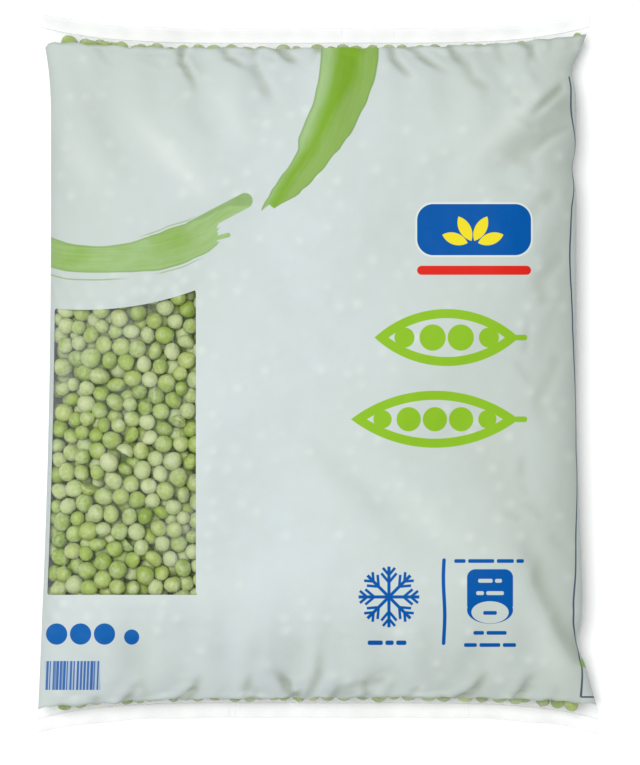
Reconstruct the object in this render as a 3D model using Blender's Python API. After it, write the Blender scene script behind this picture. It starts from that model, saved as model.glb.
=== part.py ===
"""Bag of frozen peas lying on its back: a pillow pack of thin film, filled and sealed at both ends.

Metres, +Z up. The printed front faces up and +Y points to the top of the front. The origin is
the middle of the flat patch that the full bag rests on. The bag is one solid: the filled pillow
with the flat band of each end seal.
"""

import math

import bmesh
import bpy

# Outline of the filled bag, seen from above. A flare is (where it starts along Y, its run, power).
CORNER_HALF_WIDTH = 0.148     # the flat film of the end seals is the widest part
TOP_RIGHT_TUCK = 0.004        # the top right corner is pulled in by a twist of the film
LEFT_HALF_WIDTH = 0.1403
LEFT_LOW_FLARE = (0.080, -0.268, 2.0)
LEFT_HIGH_FLARE = (0.130, 0.058, 2.5)
RIGHT_HALF_WIDTH = 0.1362
RIGHT_LEAN = 0.0032           # a slow part of the right side's flare, before its quick one
RIGHT_LEAN_FLARE = (-0.010, -0.100, 1.5)
RIGHT_LOW_FLARE = (-0.138, -0.040, 1.5)
RIGHT_HIGH_FLARE = (0.156, 0.028, 1.5)
NIPS = (                      # small waists of the right side: place along Y, depth, reach
    (0.160, 0.0024, 0.008),
    (0.108, 0.0020, 0.008),
    (-0.142, 0.0030, 0.009),
)
CORNER_HALF_LENGTH = 0.1905
END_DIP = 0.0085              # the middle of each sealed edge is drawn in by the filling
END_DIP_POWER = 5.0
SEAL_BAND = 0.008             # width of the seal band, seen from above

# Heights of the filled bag as it lies
SIDE_RIM = 0.020              # where the rounded sides are widest
SEAL_RIM = 0.012              # the seal bands, above the table
RIM_BLEND = 0.060             # how far in from a seal the rim takes to reach its full height
TOP_RISE = 0.027              # the shoulders of the front, above the side rim
DOME_RISE = 0.004             # the middle of the front, above its shoulders
SIDE_SHOULDER = 0.046         # how far in the front takes to level out from the sides
END_SHOULDER = 0.062          # and from the seals
SIDE_FOOT = 0.034             # how far in the back takes to come down to the table
END_FOOT = 0.046              # and from the seals
BAND_HALF = 0.0004            # half the thickness of a seal band
BAND_DROOP = 0.0030
BAND_WAVES = ((0.0012, 7.0, 0.8), (0.0007, 17.0, 0.0))   # rise, count, phase

# Puckers that run in from the seals, and the slow unevenness of the filling
PUCKER_RISE = 0.0016
PUCKER_REACH = 0.013          # how far in from the seal the puckers are deepest
PUCKER_WAVES = ((21.0, 0.4), (34.0, 1.9))                # count, phase
PUCKER_EDGE_POWER = 8
LUMP_RISE = 0.0010
LUMP_WAVES = ((41.0, 17.0, 0.6), (-23.0, 46.0, 2.1), (63.0, -38.0, 4.0))
UNEVEN_FADE = 0.020           # both die out this close to the sides

# Mesh
CELLS_ACROSS = 40
CELLS_ALONG = 48
CELLS_IN_BAND = 2
EDGE_CROWDING = 0.75          # how strongly the cells crowd towards the rounded edges


def clamp01(value):
    return min(1.0, max(0.0, value))


def smooth(value):
    value = clamp01(value)
    return value * value * (3.0 - 2.0 * value)


def round_over(value):
    """Quarter of an ellipse: upright at 0, level from 1 on."""
    value = clamp01(value)
    return math.sqrt(1.0 - (1.0 - value) ** 2)


def crowd(value):
    """Moves evenly spaced values from -1 to 1 towards both ends."""
    return (1.0 - EDGE_CROWDING) * value + EDGE_CROWDING * math.sin(value * math.pi / 2.0)


def flare(y, start, run, power):
    return clamp01((y - start) / run) ** power


def left_half_width(y):
    """The left side leans out slowly towards the bottom, and quickly at the top corner."""
    widening = CORNER_HALF_WIDTH - LEFT_HALF_WIDTH
    return LEFT_HALF_WIDTH + widening * (flare(y, *LEFT_LOW_FLARE) + flare(y, *LEFT_HIGH_FLARE))


def right_half_width(y):
    """The right side keeps its width, with a few nips, and flares close to both corners."""
    widening = CORNER_HALF_WIDTH - RIGHT_HALF_WIDTH
    low = RIGHT_LEAN * flare(y, *RIGHT_LEAN_FLARE)
    low += (widening - RIGHT_LEAN) * flare(y, *RIGHT_LOW_FLARE)
    high = (widening - TOP_RIGHT_TUCK) * flare(y, *RIGHT_HIGH_FLARE)
    nips = sum(depth * math.exp(-(((y - place) / reach) ** 2)) for place, depth, reach in NIPS)
    return RIGHT_HALF_WIDTH + low + high - nips


def seal_line(u, end):
    """Y of the line where the filled part meets the seal band, at -1 the bottom and 1 the top."""
    dip = END_DIP * (1.0 - abs(u) ** END_DIP_POWER)
    return end * (CORNER_HALF_LENGTH - dip - SEAL_BAND)


def band_height(u):
    """The height of a seal line, which waves a little from side to side."""
    return SEAL_RIM + sum(rise * math.sin(count * u + phase) for rise, count, phase in BAND_WAVES)


def puckers(u, from_end, end):
    """Creases across the seal, deepest a little way in from it."""
    wave = sum(math.sin(count * u + phase * (2.0 + end)) for count, phase in PUCKER_WAVES)
    reach = from_end / PUCKER_REACH
    return PUCKER_RISE * wave * reach * math.exp(1.0 - reach) * (1.0 - u ** PUCKER_EDGE_POWER)


def lumps(x, y):
    return LUMP_RISE * sum(math.sin(kx * x + ky * y + phase) for kx, ky, phase in LUMP_WAVES)


def film_point(u, t, band, front):
    """A point of the film: u from left to right, t from the bottom seal to the top one, band from
    0 at a seal line to 1 at the cut edge, and front or back."""
    end = 1.0 if t > 0.0 else -1.0
    low, high = seal_line(u, -1.0), seal_line(u, 1.0)
    y = low + (high - low) * (t + 1.0) / 2.0 + end * SEAL_BAND * band
    half_width = left_half_width(y) if u < 0.0 else right_half_width(y)
    x = u * half_width
    half = BAND_HALF if front else -BAND_HALF
    if band > 0.0:
        return x, y, band_height(u) - BAND_DROOP * band ** 2 + half

    from_end = (1.0 - abs(t)) * (high - low) / 2.0
    from_side = (1.0 - abs(u)) * half_width
    rim = band_height(u) + (SIDE_RIM - band_height(u)) * smooth(from_end / RIM_BLEND) + half
    if not front:
        down = round_over(from_side / SIDE_FOOT) * round_over(from_end / END_FOOT)
        return x, y, rim * (1.0 - down)
    up = round_over(from_side / SIDE_SHOULDER) * round_over(from_end / END_SHOULDER)
    dome = DOME_RISE * (1.0 - u * u) * (1.0 - t * t)
    uneven = (lumps(x, y) + puckers(u, from_end, end)) * smooth(from_side / UNEVEN_FADE)
    return x, y, rim + up * (TOP_RISE + dome + uneven)


def row_of(step):
    """(t, band) of a row of the grid, counted from the bottom cut edge."""
    body_cells = CELLS_ALONG - 2 * CELLS_IN_BAND
    from_low = step - CELLS_IN_BAND
    if from_low < 0:
        return -1.0, -from_low / CELLS_IN_BAND
    if from_low > body_cells:
        return 1.0, (from_low - body_cells) / CELLS_IN_BAND
    return crowd(2.0 * from_low / body_cells - 1.0), 0.0


def bag_mesh():
    """A flat slab of two sheets joined round their edge, formed into the filled bag."""
    shape = bmesh.new()
    bmesh.ops.create_grid(shape, x_segments=CELLS_ACROSS, y_segments=CELLS_ALONG, size=1.0)
    raised = bmesh.ops.extrude_face_region(shape, geom=shape.faces[:], use_keep_orig=True)
    front_verts = {item for item in raised["geom"] if isinstance(item, bmesh.types.BMVert)}
    for vert in shape.verts:
        column = round((vert.co.x + 1.0) / 2.0 * CELLS_ACROSS)
        step = round((vert.co.y + 1.0) / 2.0 * CELLS_ALONG)
        u = crowd(2.0 * column / CELLS_ACROSS - 1.0)
        t, band = row_of(step)
        vert.co = film_point(u, t, band, vert in front_verts)
    bmesh.ops.recalc_face_normals(shape, faces=shape.faces)
    mesh = bpy.data.meshes.new("pea_bag")
    shape.to_mesh(mesh)
    shape.free()
    mesh.shade_smooth()
    mesh.set_sharp_from_angle(angle=math.radians(50.0))
    return mesh


def film_material():
    material = bpy.data.materials.new("printed_film")
    material.use_nodes = True
    shader = material.node_tree.nodes["Principled BSDF"]
    shader.inputs["Base Color"].default_value = (0.62, 0.69, 0.68, 1.0)
    shader.inputs["Roughness"].default_value = 0.38
    shader.inputs["Metallic"].default_value = 0.0
    return material


def main():
    for item in list(bpy.data.objects):
        bpy.data.objects.remove(item)
    collection = bpy.data.collections.new("frozen_pea_bag")
    bpy.context.scene.collection.children.link(collection)
    mesh = bag_mesh()
    mesh.materials.append(film_material())
    collection.objects.link(bpy.data.objects.new("pea_bag", mesh))


main()
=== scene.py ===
"""Frozen pea bag: a filled pillow pack of thin printed film, with its peas behind a clear window."""

import functools
import math

import bmesh
import bpy
import numpy as np
from bpy.props import FloatProperty, FloatVectorProperty, IntProperty, PointerProperty
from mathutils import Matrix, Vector


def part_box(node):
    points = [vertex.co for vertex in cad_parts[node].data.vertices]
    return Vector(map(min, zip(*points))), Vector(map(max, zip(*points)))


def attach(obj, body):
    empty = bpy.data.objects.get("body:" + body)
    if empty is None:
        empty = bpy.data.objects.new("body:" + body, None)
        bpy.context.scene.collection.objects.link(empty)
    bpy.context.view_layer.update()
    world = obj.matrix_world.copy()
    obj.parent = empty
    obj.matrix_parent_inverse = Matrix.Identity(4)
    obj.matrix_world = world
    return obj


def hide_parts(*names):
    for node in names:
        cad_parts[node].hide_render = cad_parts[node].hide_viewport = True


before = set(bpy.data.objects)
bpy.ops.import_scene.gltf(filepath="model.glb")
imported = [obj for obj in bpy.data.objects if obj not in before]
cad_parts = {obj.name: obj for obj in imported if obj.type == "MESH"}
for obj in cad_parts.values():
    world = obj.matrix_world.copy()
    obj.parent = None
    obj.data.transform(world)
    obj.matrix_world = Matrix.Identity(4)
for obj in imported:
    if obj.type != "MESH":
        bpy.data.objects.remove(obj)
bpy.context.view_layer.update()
CAD_LOW, CAD_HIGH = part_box("pea_bag")

bl_info = {
    "name": "Frozen Pea Bag",
    "version": (1, 0, 0),
    "blender": (4, 5, 0),
    "location": "View3D > Sidebar > Pea Bag",
    "description": "Dresses the pea bag's solid in printed film and fills it with frozen peas",
    "category": "Add Mesh",
}

MM = 0.001

# ---------------------------------------------------------------- the filled bag's form, in metres
CORNER_HALF_WIDTH = CAD_HIGH.x
CORNER_HALF_LENGTH = CAD_HIGH.y
TOP_RIGHT_TUCK = 0.004
LEFT_HALF_WIDTH = 0.1403
LEFT_LOW_FLARE = (0.080, -0.268, 2.0)      # where it starts along Y, its run, power
LEFT_HIGH_FLARE = (0.130, 0.058, 2.5)
RIGHT_HALF_WIDTH = 0.1362
RIGHT_LEAN = 0.0032
RIGHT_LEAN_FLARE = (-0.010, -0.100, 1.5)
RIGHT_LOW_FLARE = (-0.138, -0.040, 1.5)
RIGHT_HIGH_FLARE = (0.156, 0.028, 1.5)
NIPS = ((0.160, 0.0024, 0.008), (0.108, 0.0020, 0.008), (-0.142, 0.0030, 0.009))
END_DIP = 0.0085
END_DIP_POWER = 5.0
SEAL_BAND = 0.008
SIDE_RIM = 0.020
SEAL_RIM = 0.012
RIM_BLEND = 0.060
TOP_RISE = 0.027
DOME_RISE = 0.004
SIDE_SHOULDER = 0.046
END_SHOULDER = 0.062
SIDE_FOOT = 0.034
END_FOOT = 0.046
BAND_DROOP = 0.0030
BAND_WAVES = ((0.0012, 7.0, 0.8), (0.0007, 17.0, 0.0))
PUCKER_RISE = 0.0016
PUCKER_REACH = 0.013
PUCKER_WAVES = ((21.0, 0.4), (34.0, 1.9))
PUCKER_EDGE_POWER = 8
LUMP_RISE = 0.0010
LUMP_WAVES = ((41.0, 17.0, 0.6), (-23.0, 46.0, 2.1), (63.0, -38.0, 4.0))
UNEVEN_FADE = 0.020
FILM_HALF = 0.00012                        # half the thickness of the two films at a seal
TABLE_GAP = 0.0004                         # room under the back film for its lap seam

# The bulge takes up film, so the print draws together by this share for each metre of height
FILM_TAKE_UP = 0.34

# ---------------------------------------------------------------- the print's layout, in millimetres
TOP_MARGIN = ((-1.0, 11.0), (-0.985, 8.2), (-0.96, 6.6), (-0.93, 5.8), (-0.8, 4.2), (-0.4, 2.9),
              (0.0, 3.2), (0.3, 2.8), (0.62, 1.8), (0.85, 2.0), (0.92, 2.4), (0.955, 3.9),
              (0.98, 3.9), (1.0, 3.6))   # share across, clear film between the print and the seal
BOTTOM_MARGIN = ((-1.0, 5.7), (-0.8, 2.2), (0.0, 3.1), (0.62, 3.5), (0.8, 4.8), (1.0, 7.4))
MARGIN_WAVES = ((0.35, 0.31, 0.3), (0.26, 0.57, 2.0), (0.12, 0.83, 1.1))   # rise, turn per mm, phase
WINDOW_SIDE_MARGIN = 2.2
WINDOW_RIGHT = -64.0
WINDOW_BOTTOM = -116.8
WINDOW_ARC = (-122.4, 201.6, 168.4)        # centre and radius of its top edge

# The lower stripe's lower and upper edge at places from left to right
LOW_STRIPE = ((-146.0, 56.8, 74.5), (-140.0, 55.4, 71.6), (-133.0, 53.6, 68.8), (-120.0, 52.8, 66.9),
              (-107.0, 52.8, 67.3), (-93.5, 53.3, 70.2), (-80.5, 54.6, 75.0), (-67.0, 59.0, 79.6),
              (-56.0, 64.6, 84.2), (-46.0, 71.5, 88.8))
LOW_STRIPE_END = -53.0
# The upper stripe's left and right edge, and its core's middle and half width, at heights from the top down
HIGH_STRIPE = ((178.0, 1.8, 32.0, 17.0, 8.6), (163.0, 1.4, 31.7, 15.0, 8.0), (151.0, -0.4, 28.9, 12.0, 6.8),
               (139.0, -3.6, 24.0, 6.4, 4.6), (125.0, -9.4, 17.0, 0.4, 4.0), (116.0, -11.0, 9.8, -5.0, 3.8),
               (106.0, -17.2, 1.9, -11.8, 3.6), (98.0, -22.8, -5.7, -17.2, 3.4),
               (92.0, -26.3, -13.0, -20.6, 3.2), (86.0, -29.6, -23.5, -24.0, 3.0))
# How far over the right side the back's frame comes: height from bottom to top, run from the rim
FRAME_RUN = ((-170.5, 12.0), (-157.0, 8.5), (-150.0, 6.5), (-143.0, 4.0), (-134.0, 11.0), (-125.0, 14.0),
             (-105.0, 11.8), (-80.0, 9.0), (-55.0, 5.2), (-40.0, 5.4), (-20.0, 4.4), (0.0, 6.2), (20.0, 8.4),
             (33.0, 9.6), (58.0, 11.8), (72.0, 11.2), (88.0, 10.0), (98.0, 6.2), (105.0, 4.4), (117.0, 3.2),
             (130.0, 8.0), (142.0, 9.8), (158.0, 6.5), (176.0, 6.0))


# ================================================================ the film's form
def clamp01(value):
    return np.clip(value, 0.0, 1.0)


def smooth(value):
    value = clamp01(value)
    return value * value * (3.0 - 2.0 * value)


def round_over(value):
    """Quarter of an ellipse: upright at 0, level from 1 on."""
    return np.sqrt(1.0 - (1.0 - clamp01(value)) ** 2)


def flare(y, start, run, power):
    return clamp01((y - start) / run) ** power


def half_width(side, y):
    """From the middle line to the side, which side's sign tells, at y."""
    widening = CORNER_HALF_WIDTH - LEFT_HALF_WIDTH
    left = LEFT_HALF_WIDTH + widening * (flare(y, *LEFT_LOW_FLARE) + flare(y, *LEFT_HIGH_FLARE))
    widening = CORNER_HALF_WIDTH - RIGHT_HALF_WIDTH
    right = RIGHT_HALF_WIDTH + RIGHT_LEAN * flare(y, *RIGHT_LEAN_FLARE)
    right = right + (widening - RIGHT_LEAN) * flare(y, *RIGHT_LOW_FLARE)
    right = right + (widening - TOP_RIGHT_TUCK) * flare(y, *RIGHT_HIGH_FLARE)
    for place, depth, reach in NIPS:
        right = right - depth * np.exp(-(((y - place) / reach) ** 2))
    return np.where(side < 0.0, left, right)


def seal_line(u, end):
    dip = END_DIP * (1.0 - np.abs(u) ** END_DIP_POWER)
    return end * (CORNER_HALF_LENGTH - dip - SEAL_BAND)


def band_height(u):
    return SEAL_RIM + sum(rise * np.sin(count * u + phase) for rise, count, phase in BAND_WAVES)


def puckers(u, from_end, end):
    wave = sum(np.sin(count * u + phase * (2.0 + end)) for count, phase in PUCKER_WAVES)
    reach = from_end / PUCKER_REACH
    return PUCKER_RISE * wave * reach * np.exp(1.0 - reach) * (1.0 - u ** PUCKER_EDGE_POWER)


def lumps(x, y):
    return LUMP_RISE * sum(np.sin(kx * x + ky * y + phase) for kx, ky, phase in LUMP_WAVES)


def rim_height(u, from_end):
    low = band_height(u)
    return low + (SIDE_RIM - low) * smooth(from_end / RIM_BLEND)


def film_points(u, t, front):
    """Points of the filled part's film: u from left to right, t from the bottom seal to the top one."""
    u, t = np.broadcast_arrays(np.asarray(u, float), np.asarray(t, float))
    end = np.where(t > 0.0, 1.0, -1.0)
    low, high = seal_line(u, -1.0), seal_line(u, 1.0)
    y = low + (high - low) * (t + 1.0) / 2.0
    width = half_width(u, y)
    x = u * width
    from_end = (1.0 - np.abs(t)) * (high - low) / 2.0
    from_side = (1.0 - np.abs(u)) * width
    rim = rim_height(u, from_end)
    if front:
        up = round_over(from_side / SIDE_SHOULDER) * round_over(from_end / END_SHOULDER)
        dome = DOME_RISE * (1.0 - u * u) * (1.0 - t * t)
        uneven = (lumps(x, y) + puckers(u, from_end, end)) * smooth(from_side / UNEVEN_FADE)
        z = rim + up * (TOP_RISE + dome + uneven)
    else:
        down = round_over(from_side / SIDE_FOOT) * round_over(from_end / END_FOOT)
        z = TABLE_GAP + (rim - TABLE_GAP) * (1.0 - down)
    return np.stack([x, y, z], -1)


def film_shares(x, y):
    """The (u, t) of the film above or below a point of the table."""
    u = np.clip(x / half_width(x, y), -1.0, 1.0)
    low, high = seal_line(u, -1.0), seal_line(u, 1.0)
    return u, np.clip(2.0 * (y - low) / (high - low) - 1.0, -1.0, 1.0)


def film_height(x, y, front):
    u, t = film_shares(x, y)
    return film_points(u, t, front)[..., 2]


def even_steps(values, places, step):
    """Values spaced so that the places they lead to lie a step apart."""
    gaps = np.linalg.norm(np.diff(places, axis=0), axis=1)
    run = np.concatenate([[0.0], np.cumsum(gaps)])
    count = max(2, round(run[-1] / step))
    return np.interp(np.linspace(0.0, run[-1], count + 1), run, values)


def film_grid(front, across_step, along_step):
    """The (u, t) of every crossing of a grid over one film, rows from the bottom up, the same for both."""
    crowded = np.sin(np.linspace(-math.pi / 2, math.pi / 2, 4001))
    across = even_steps(crowded, film_points(crowded, 0.0, front), across_step)
    finer_ends = (1.0 + 0.25 * crowded ** 8)[:, None]
    along = even_steps(crowded, film_points(0.0, crowded, True) * finer_ends, along_step)
    return np.meshgrid(across, along)


def softened(values):
    """Each value averaged with its neighbours on the grid."""
    for axis in (0, 1):
        values = (np.roll(values, 1, axis) + 2.0 * values + np.roll(values, -1, axis)) / 4.0
    return values


def sheet_normals(points):
    across = np.gradient(points, axis=1)
    along = np.gradient(points, axis=0)
    normals = np.cross(across, along)
    return normals / np.maximum(np.linalg.norm(normals, axis=-1, keepdims=True), 1e-12)


# ================================================================ folds and touches, in millimetres
# Each fold: the points of its route from the deep end on, depth, half width
FOLDS = (
    (((-71, 176), (-71.5, 164), (-66, 155), (-62, 145)), 1.9, 1.9),
    (((-51, 174), (-47.5, 166), (-40, 162), (-33, 158)), 1.3, 2.0),
    (((-33, 160), (-28, 151), (-22, 138)), 0.9, 3.0),
    (((-23, 174), (-17, 168), (-9, 161)), 2.0, 2.4),
    (((38, 174), (40, 165), (51, 152)), 1.5, 2.0),
    (((45, 174), (58, 164), (70, 156)), 1.5, 1.9),
    (((68, 174), (73, 166), (76, 160)), 1.3, 2.0),
    (((75, 168), (81, 154), (88, 150), (87, 140)), 0.9, 3.0),
    (((105, 177), (112, 171), (116.5, 159)), 1.5, 1.9),
    (((128, 150), (118, 141), (108, 132)), 1.1, 1.9),
    (((131, 128), (122, 124), (108, 112)), 0.7, 2.4),
    (((129, 140), (112, 124), (84, 100)), 0.8, 8.0),
    (((-103, -175), (-97, -168), (-93, -160)), 1.4, 2.2),
    (((-76, -175), (-66, -168), (-61, -157)), 1.9, 2.4),
    (((-39, -172), (-35, -156)), 1.1, 2.4),
    (((-12, -173), (-17, -163), (-23, -154)), 1.9, 2.8),
    (((-6, -172), (0, -160), (2, -142)), 1.2, 2.8),
    (((8, -170), (25, -163), (45, -152)), 0.8, 4.4),
    (((72, -173), (83, -166), (90, -154)), 1.8, 2.2),
    (((104, -173), (110, -163), (116, -155)), 1.3, 2.6),
    (((137, -150), (127, -134), (119, -118), (110, -94), (99, -78)), 1.0, 4.5),
    (((121, 92), (112, 84), (108, 70)), 0.6, 4.0),
    (((126, 60), (116, 48), (119, 30)), 0.6, 4.0),
    (((124, 6), (116, -14), (119, -34)), 0.5, 4.0),
)
# Each broad slanting swell or trough: middle, direction of its length, half length, half width, rise
SWELLS = (
    (-78, 115, -49, 27, 6.5, 1.0), (-69, 103, -49, 12, 4.0, 0.3), (-114, 130, -62, 32, 6.0, -0.8),
    (-124, 112, -60, 18, 6.0, 0.5), (-60, 130, -62, 22, 5.0, -0.5), (-45, 135, -60, 22, 6.0, 0.5),
    (100, 130, 47, 34, 6.0, 0.6), (108, 118, 39, 22, 6.0, -0.45), (123, 145, 45, 9, 3.5, -0.4),
    (122, 66, 60, 12, 5.0, -0.7), (121, 22, 70, 24, 4.5, -0.5), (22, -62, -45, 32, 6.0, -0.7),
    (0, -62, -50, 40, 8.0, 0.2), (55, -72, -42, 30, 7.0, 0.5), (98, -62, -60, 36, 14.0, -0.8),
    (116, -100, -60, 14, 6.0, -0.4), (122, -142, -60, 22, 8.0, 0.8), (-95, -150, 90, 14, 6.0, -0.8),
    (-75, -150, 90, 14, 6.0, 0.3), (-52, -146, 90, 14, 5.5, -0.8), (-33, -148, 80, 12, 4.5, -0.7),
    (-12, -150, 85, 14, 4.5, -0.8), (3, -140, 80, 18, 4.0, -0.6), (55, -150, 90, 14, 7.0, -0.4),
    (75, -155, 60, 16, 5.0, -0.5), (92, -150, 70, 16, 6.0, 0.4), (8, 152, 50, 30, 9.0, 0.3),
    (62, 120, 50, 34, 9.0, 0.3), (-20, 40, -50, 50, 12.0, -0.25),
)


def fold(x, y, route, depth, reach):
    """A valley with a low ridge beside it, which fades out towards the end of its route."""
    nearest = np.full(x.shape, 1e9)
    away = np.zeros(x.shape)
    along = np.zeros(x.shape)
    route = np.array(route, float)
    runs = np.diff(route, axis=0)
    lengths = np.linalg.norm(runs, axis=1)
    passed = np.concatenate([[0.0], np.cumsum(lengths)])
    for place, run, length, before in zip(route, runs, lengths, passed):
        dx, dy = x - place[0], y - place[1]
        share = clamp01((dx * run[0] + dy * run[1]) / length ** 2)
        off_x, off_y = dx - share * run[0], dy - share * run[1]
        far = np.hypot(off_x, off_y)
        closer = far < nearest
        side = np.sign(run[0] * off_y - run[1] * off_x)
        nearest = np.where(closer, far, nearest)
        away = np.where(closer, far * side, away)
        along = np.where(closer, (before + share * length) / passed[-1], along)
    valley = np.exp(-((away / reach) ** 2))
    ridge = np.exp(-(((away - 1.7 * reach) / (1.1 * reach)) ** 2))
    return depth * (0.5 * ridge - valley) * smooth((1.02 - along) / 0.55)


def swell(x, y, middle_x, middle_y, turn, half_length, half_span, rise):
    """A broad soft ridge, or a trough where rise is negative."""
    c, s = math.cos(math.radians(turn)), math.sin(math.radians(turn))
    along = ((x - middle_x) * c + (y - middle_y) * s) / half_length
    across = ((y - middle_y) * c - (x - middle_x) * s) / half_span
    return rise * np.exp(-along ** 2 - across ** 2)


def small_folds(rng, count):
    """Short creases that run in from both seals, and slack ones near the right side."""
    found = []
    for _ in range(count):
        end = rng.choice((-1.0, 1.0))
        u = rng.uniform(-0.95, 0.95)
        start_x = u * 140.0
        start_y = float(seal_line(u, end)) / MM - end * 1.0
        lean = rng.normal(0.45, 0.45)
        length = rng.uniform(6.0, 18.0)
        bend = rng.normal(0.0, 1.6)
        route = ((start_x, start_y), (start_x + lean * length * 0.5 + bend, start_y - end * length * 0.5),
                 (start_x + lean * length, start_y - end * length))
        found.append((route, rng.uniform(0.3, 0.9), rng.uniform(1.2, 2.4)))
    for _ in range(count // 2):
        start_x, start_y = rng.uniform(100.0, 131.0), rng.uniform(-130.0, 165.0)
        turn = rng.normal(2.2, 0.5)
        length = rng.uniform(8.0, 20.0)
        route = ((start_x, start_y), (start_x + math.cos(turn) * length, start_y + math.sin(turn) * length))
        found.append((route, rng.uniform(0.2, 0.5), rng.uniform(1.8, 3.4)))
    return found


def slow_waves(rng, x, y, count, shortest, longest):
    """Soft unevenness: plane waves of many directions, about one high."""
    total = np.zeros(x.shape)
    for _ in range(count):
        turn = rng.uniform(0.0, math.pi)
        wave = 2.0 * math.pi / rng.uniform(shortest, longest)
        total += np.sin(wave * (x * math.cos(turn) + y * math.sin(turn)) + rng.uniform(0.0, 6.3))
    return total / math.sqrt(count)


def hidden_pea_places(rng, pitch):
    """Where peas press on the printed film from inside, and how hard, from 0 to 1."""
    rows = np.arange(-178.0, 178.0, pitch * 0.87)
    found = []
    for number, row in enumerate(rows):
        columns = np.arange(-140.0, 140.0, pitch) + (number % 2) * pitch / 2
        found.append(np.stack([columns, np.full(columns.shape, row)], -1))
    places = np.concatenate(found)
    places = places + rng.normal(0.0, pitch * 0.16, places.shape)
    press = rng.uniform(0.0, 1.0, len(places)) ** 3
    return np.column_stack([places, press])


def pea_touches(x, y, places, reach):
    """How far the peas lift the film, from 0 to about 1."""
    lift = np.zeros(x.shape)
    for pea_x, pea_y, press in places:
        near = (np.abs(x - pea_x) < 2.4 * reach) & (np.abs(y - pea_y) < 2.4 * reach)
        far = (x[near] - pea_x) ** 2 + (y[near] - pea_y) ** 2
        lift[near] = np.maximum(lift[near], press * np.exp(-far / reach ** 2))
    return lift


def drape(points, loose, centres, radii):
    """Lifts the film off the peas that it would cut, where it is loose, and stretches it between them."""
    lift = np.zeros(points.shape[:2])
    for centre, radius in zip(centres, radii):
        reach = radius * 1.05 + 0.0003
        away = points[..., :2] - centre[:2]
        under = np.maximum(reach ** 2 - (away ** 2).sum(-1), 0.0)
        over = under > 0.0
        lift[over] = np.maximum(lift[over], centre[2] + np.sqrt(under[over]) - points[over, 2])
    spread = lift
    for _ in range(8):
        spread = np.maximum(lift, softened(spread))
    points[..., 2] += loose * spread


# ================================================================ meshes
def grid_mesh(name, points, uv=None, attributes=None, close_rows=False):
    """One sheet of quads through rows of points."""
    rows, columns = points.shape[:2]
    index = np.arange(rows * columns).reshape(rows, columns)
    if close_rows:
        index = np.concatenate([index, index[:1]])
    quads = np.stack([index[:-1, :-1], index[:-1, 1:], index[1:, 1:], index[1:, :-1]], -1).reshape(-1, 4)
    return make_mesh(name, points.reshape(-1, 3), quads, uv, attributes)


def make_mesh(name, points, quads, uv=None, attributes=None):
    """A mesh of quads, with a place on the flat map and values for each of its points."""
    mesh = bpy.data.meshes.new(name)
    mesh.vertices.add(len(points))
    mesh.vertices.foreach_set("co", points.astype(np.float32).ravel())
    mesh.loops.add(quads.size)
    mesh.loops.foreach_set("vertex_index", quads.astype(np.int32).ravel())
    mesh.polygons.add(len(quads))
    mesh.polygons.foreach_set("loop_start", np.arange(0, quads.size, 4, dtype=np.int32))
    mesh.update(calc_edges=True)
    if uv is not None:
        layer = mesh.uv_layers.new(name="OFBake")
        layer.uv.foreach_set("vector", uv.reshape(-1, 2)[quads.ravel()].astype(np.float32).ravel())
    for key, values in (attributes or {}).items():
        attribute = mesh.attributes.new(key, "FLOAT", "POINT")
        attribute.data.foreach_set("value", values.astype(np.float32).ravel())
    mesh.shade_smooth()
    return mesh


def flat_map(points):
    """Each grid point's place on the film as it lies flat, from 0 to 1 both ways."""
    across = np.linalg.norm(np.diff(points, axis=1), axis=-1).mean(0)
    along = np.linalg.norm(np.diff(points, axis=0), axis=-1).mean(1)
    u = np.concatenate([[0.0], np.cumsum(across)])
    v = np.concatenate([[0.0], np.cumsum(along)])
    return np.stack(np.meshgrid(0.01 + 0.98 * u / u[-1], 0.01 + 0.98 * v / v[-1]), -1)


def cut_along(sheet, field):
    """Cuts the sheet's faces where the field changes sign, so that edges run along its zero line."""
    places = np.array([vert.co for vert in sheet.verts])
    values = field(places)
    values[np.abs(values) < 2e-5] = 0.0
    level = dict(zip(sheet.verts, values.tolist()))
    for edge in list(sheet.edges):
        first, last = edge.verts
        if level[first] * level[last] < 0.0:
            share = level[first] / (level[first] - level[last])
            level[bmesh.utils.edge_split(edge, first, share)[1]] = 0.0
    for face in list(sheet.faces):
        line = [vert for vert in face.verts if level[vert] == 0.0]
        if len(line) == 2 and not any(set(edge.verts) == set(line) for edge in face.edges):
            bmesh.utils.face_split(face, *line)


def face_middles(sheet):
    return np.array([face.calc_center_median() for face in sheet.faces])


def part_of(sheet, name, kept, materials=None):
    """A mesh of the kept faces of a sheet, each with its material's number."""
    piece = sheet.copy()
    piece.faces.ensure_lookup_table()
    if materials is not None:
        for face, number in zip(piece.faces, materials.tolist()):
            face.material_index = number
    dropped = [face for face, keep in zip(piece.faces, kept.tolist()) if not keep]
    bmesh.ops.delete(piece, geom=dropped, context="FACES")
    mesh = bpy.data.meshes.new(name)
    piece.to_mesh(mesh)
    piece.free()
    mesh.shade_smooth()
    return mesh


def add_piece(name, mesh, materials):
    """A finished piece: it rides on the bag and stands for the plain solid."""
    piece = bpy.data.objects.new(name, mesh)
    bpy.context.scene.collection.objects.link(piece)
    for material in materials:
        mesh.materials.append(material)
    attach(piece, "root")
    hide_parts("pea_bag")
    return piece


# ================================================================ where film is clear
def print_place(points):
    """Millimetres on the print, which the bulge draws together."""
    spread = (1.0 + FILM_TAKE_UP * (points[..., 2] - SIDE_RIM)) / MM
    return points[..., 0] * spread, points[..., 1] * spread


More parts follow.
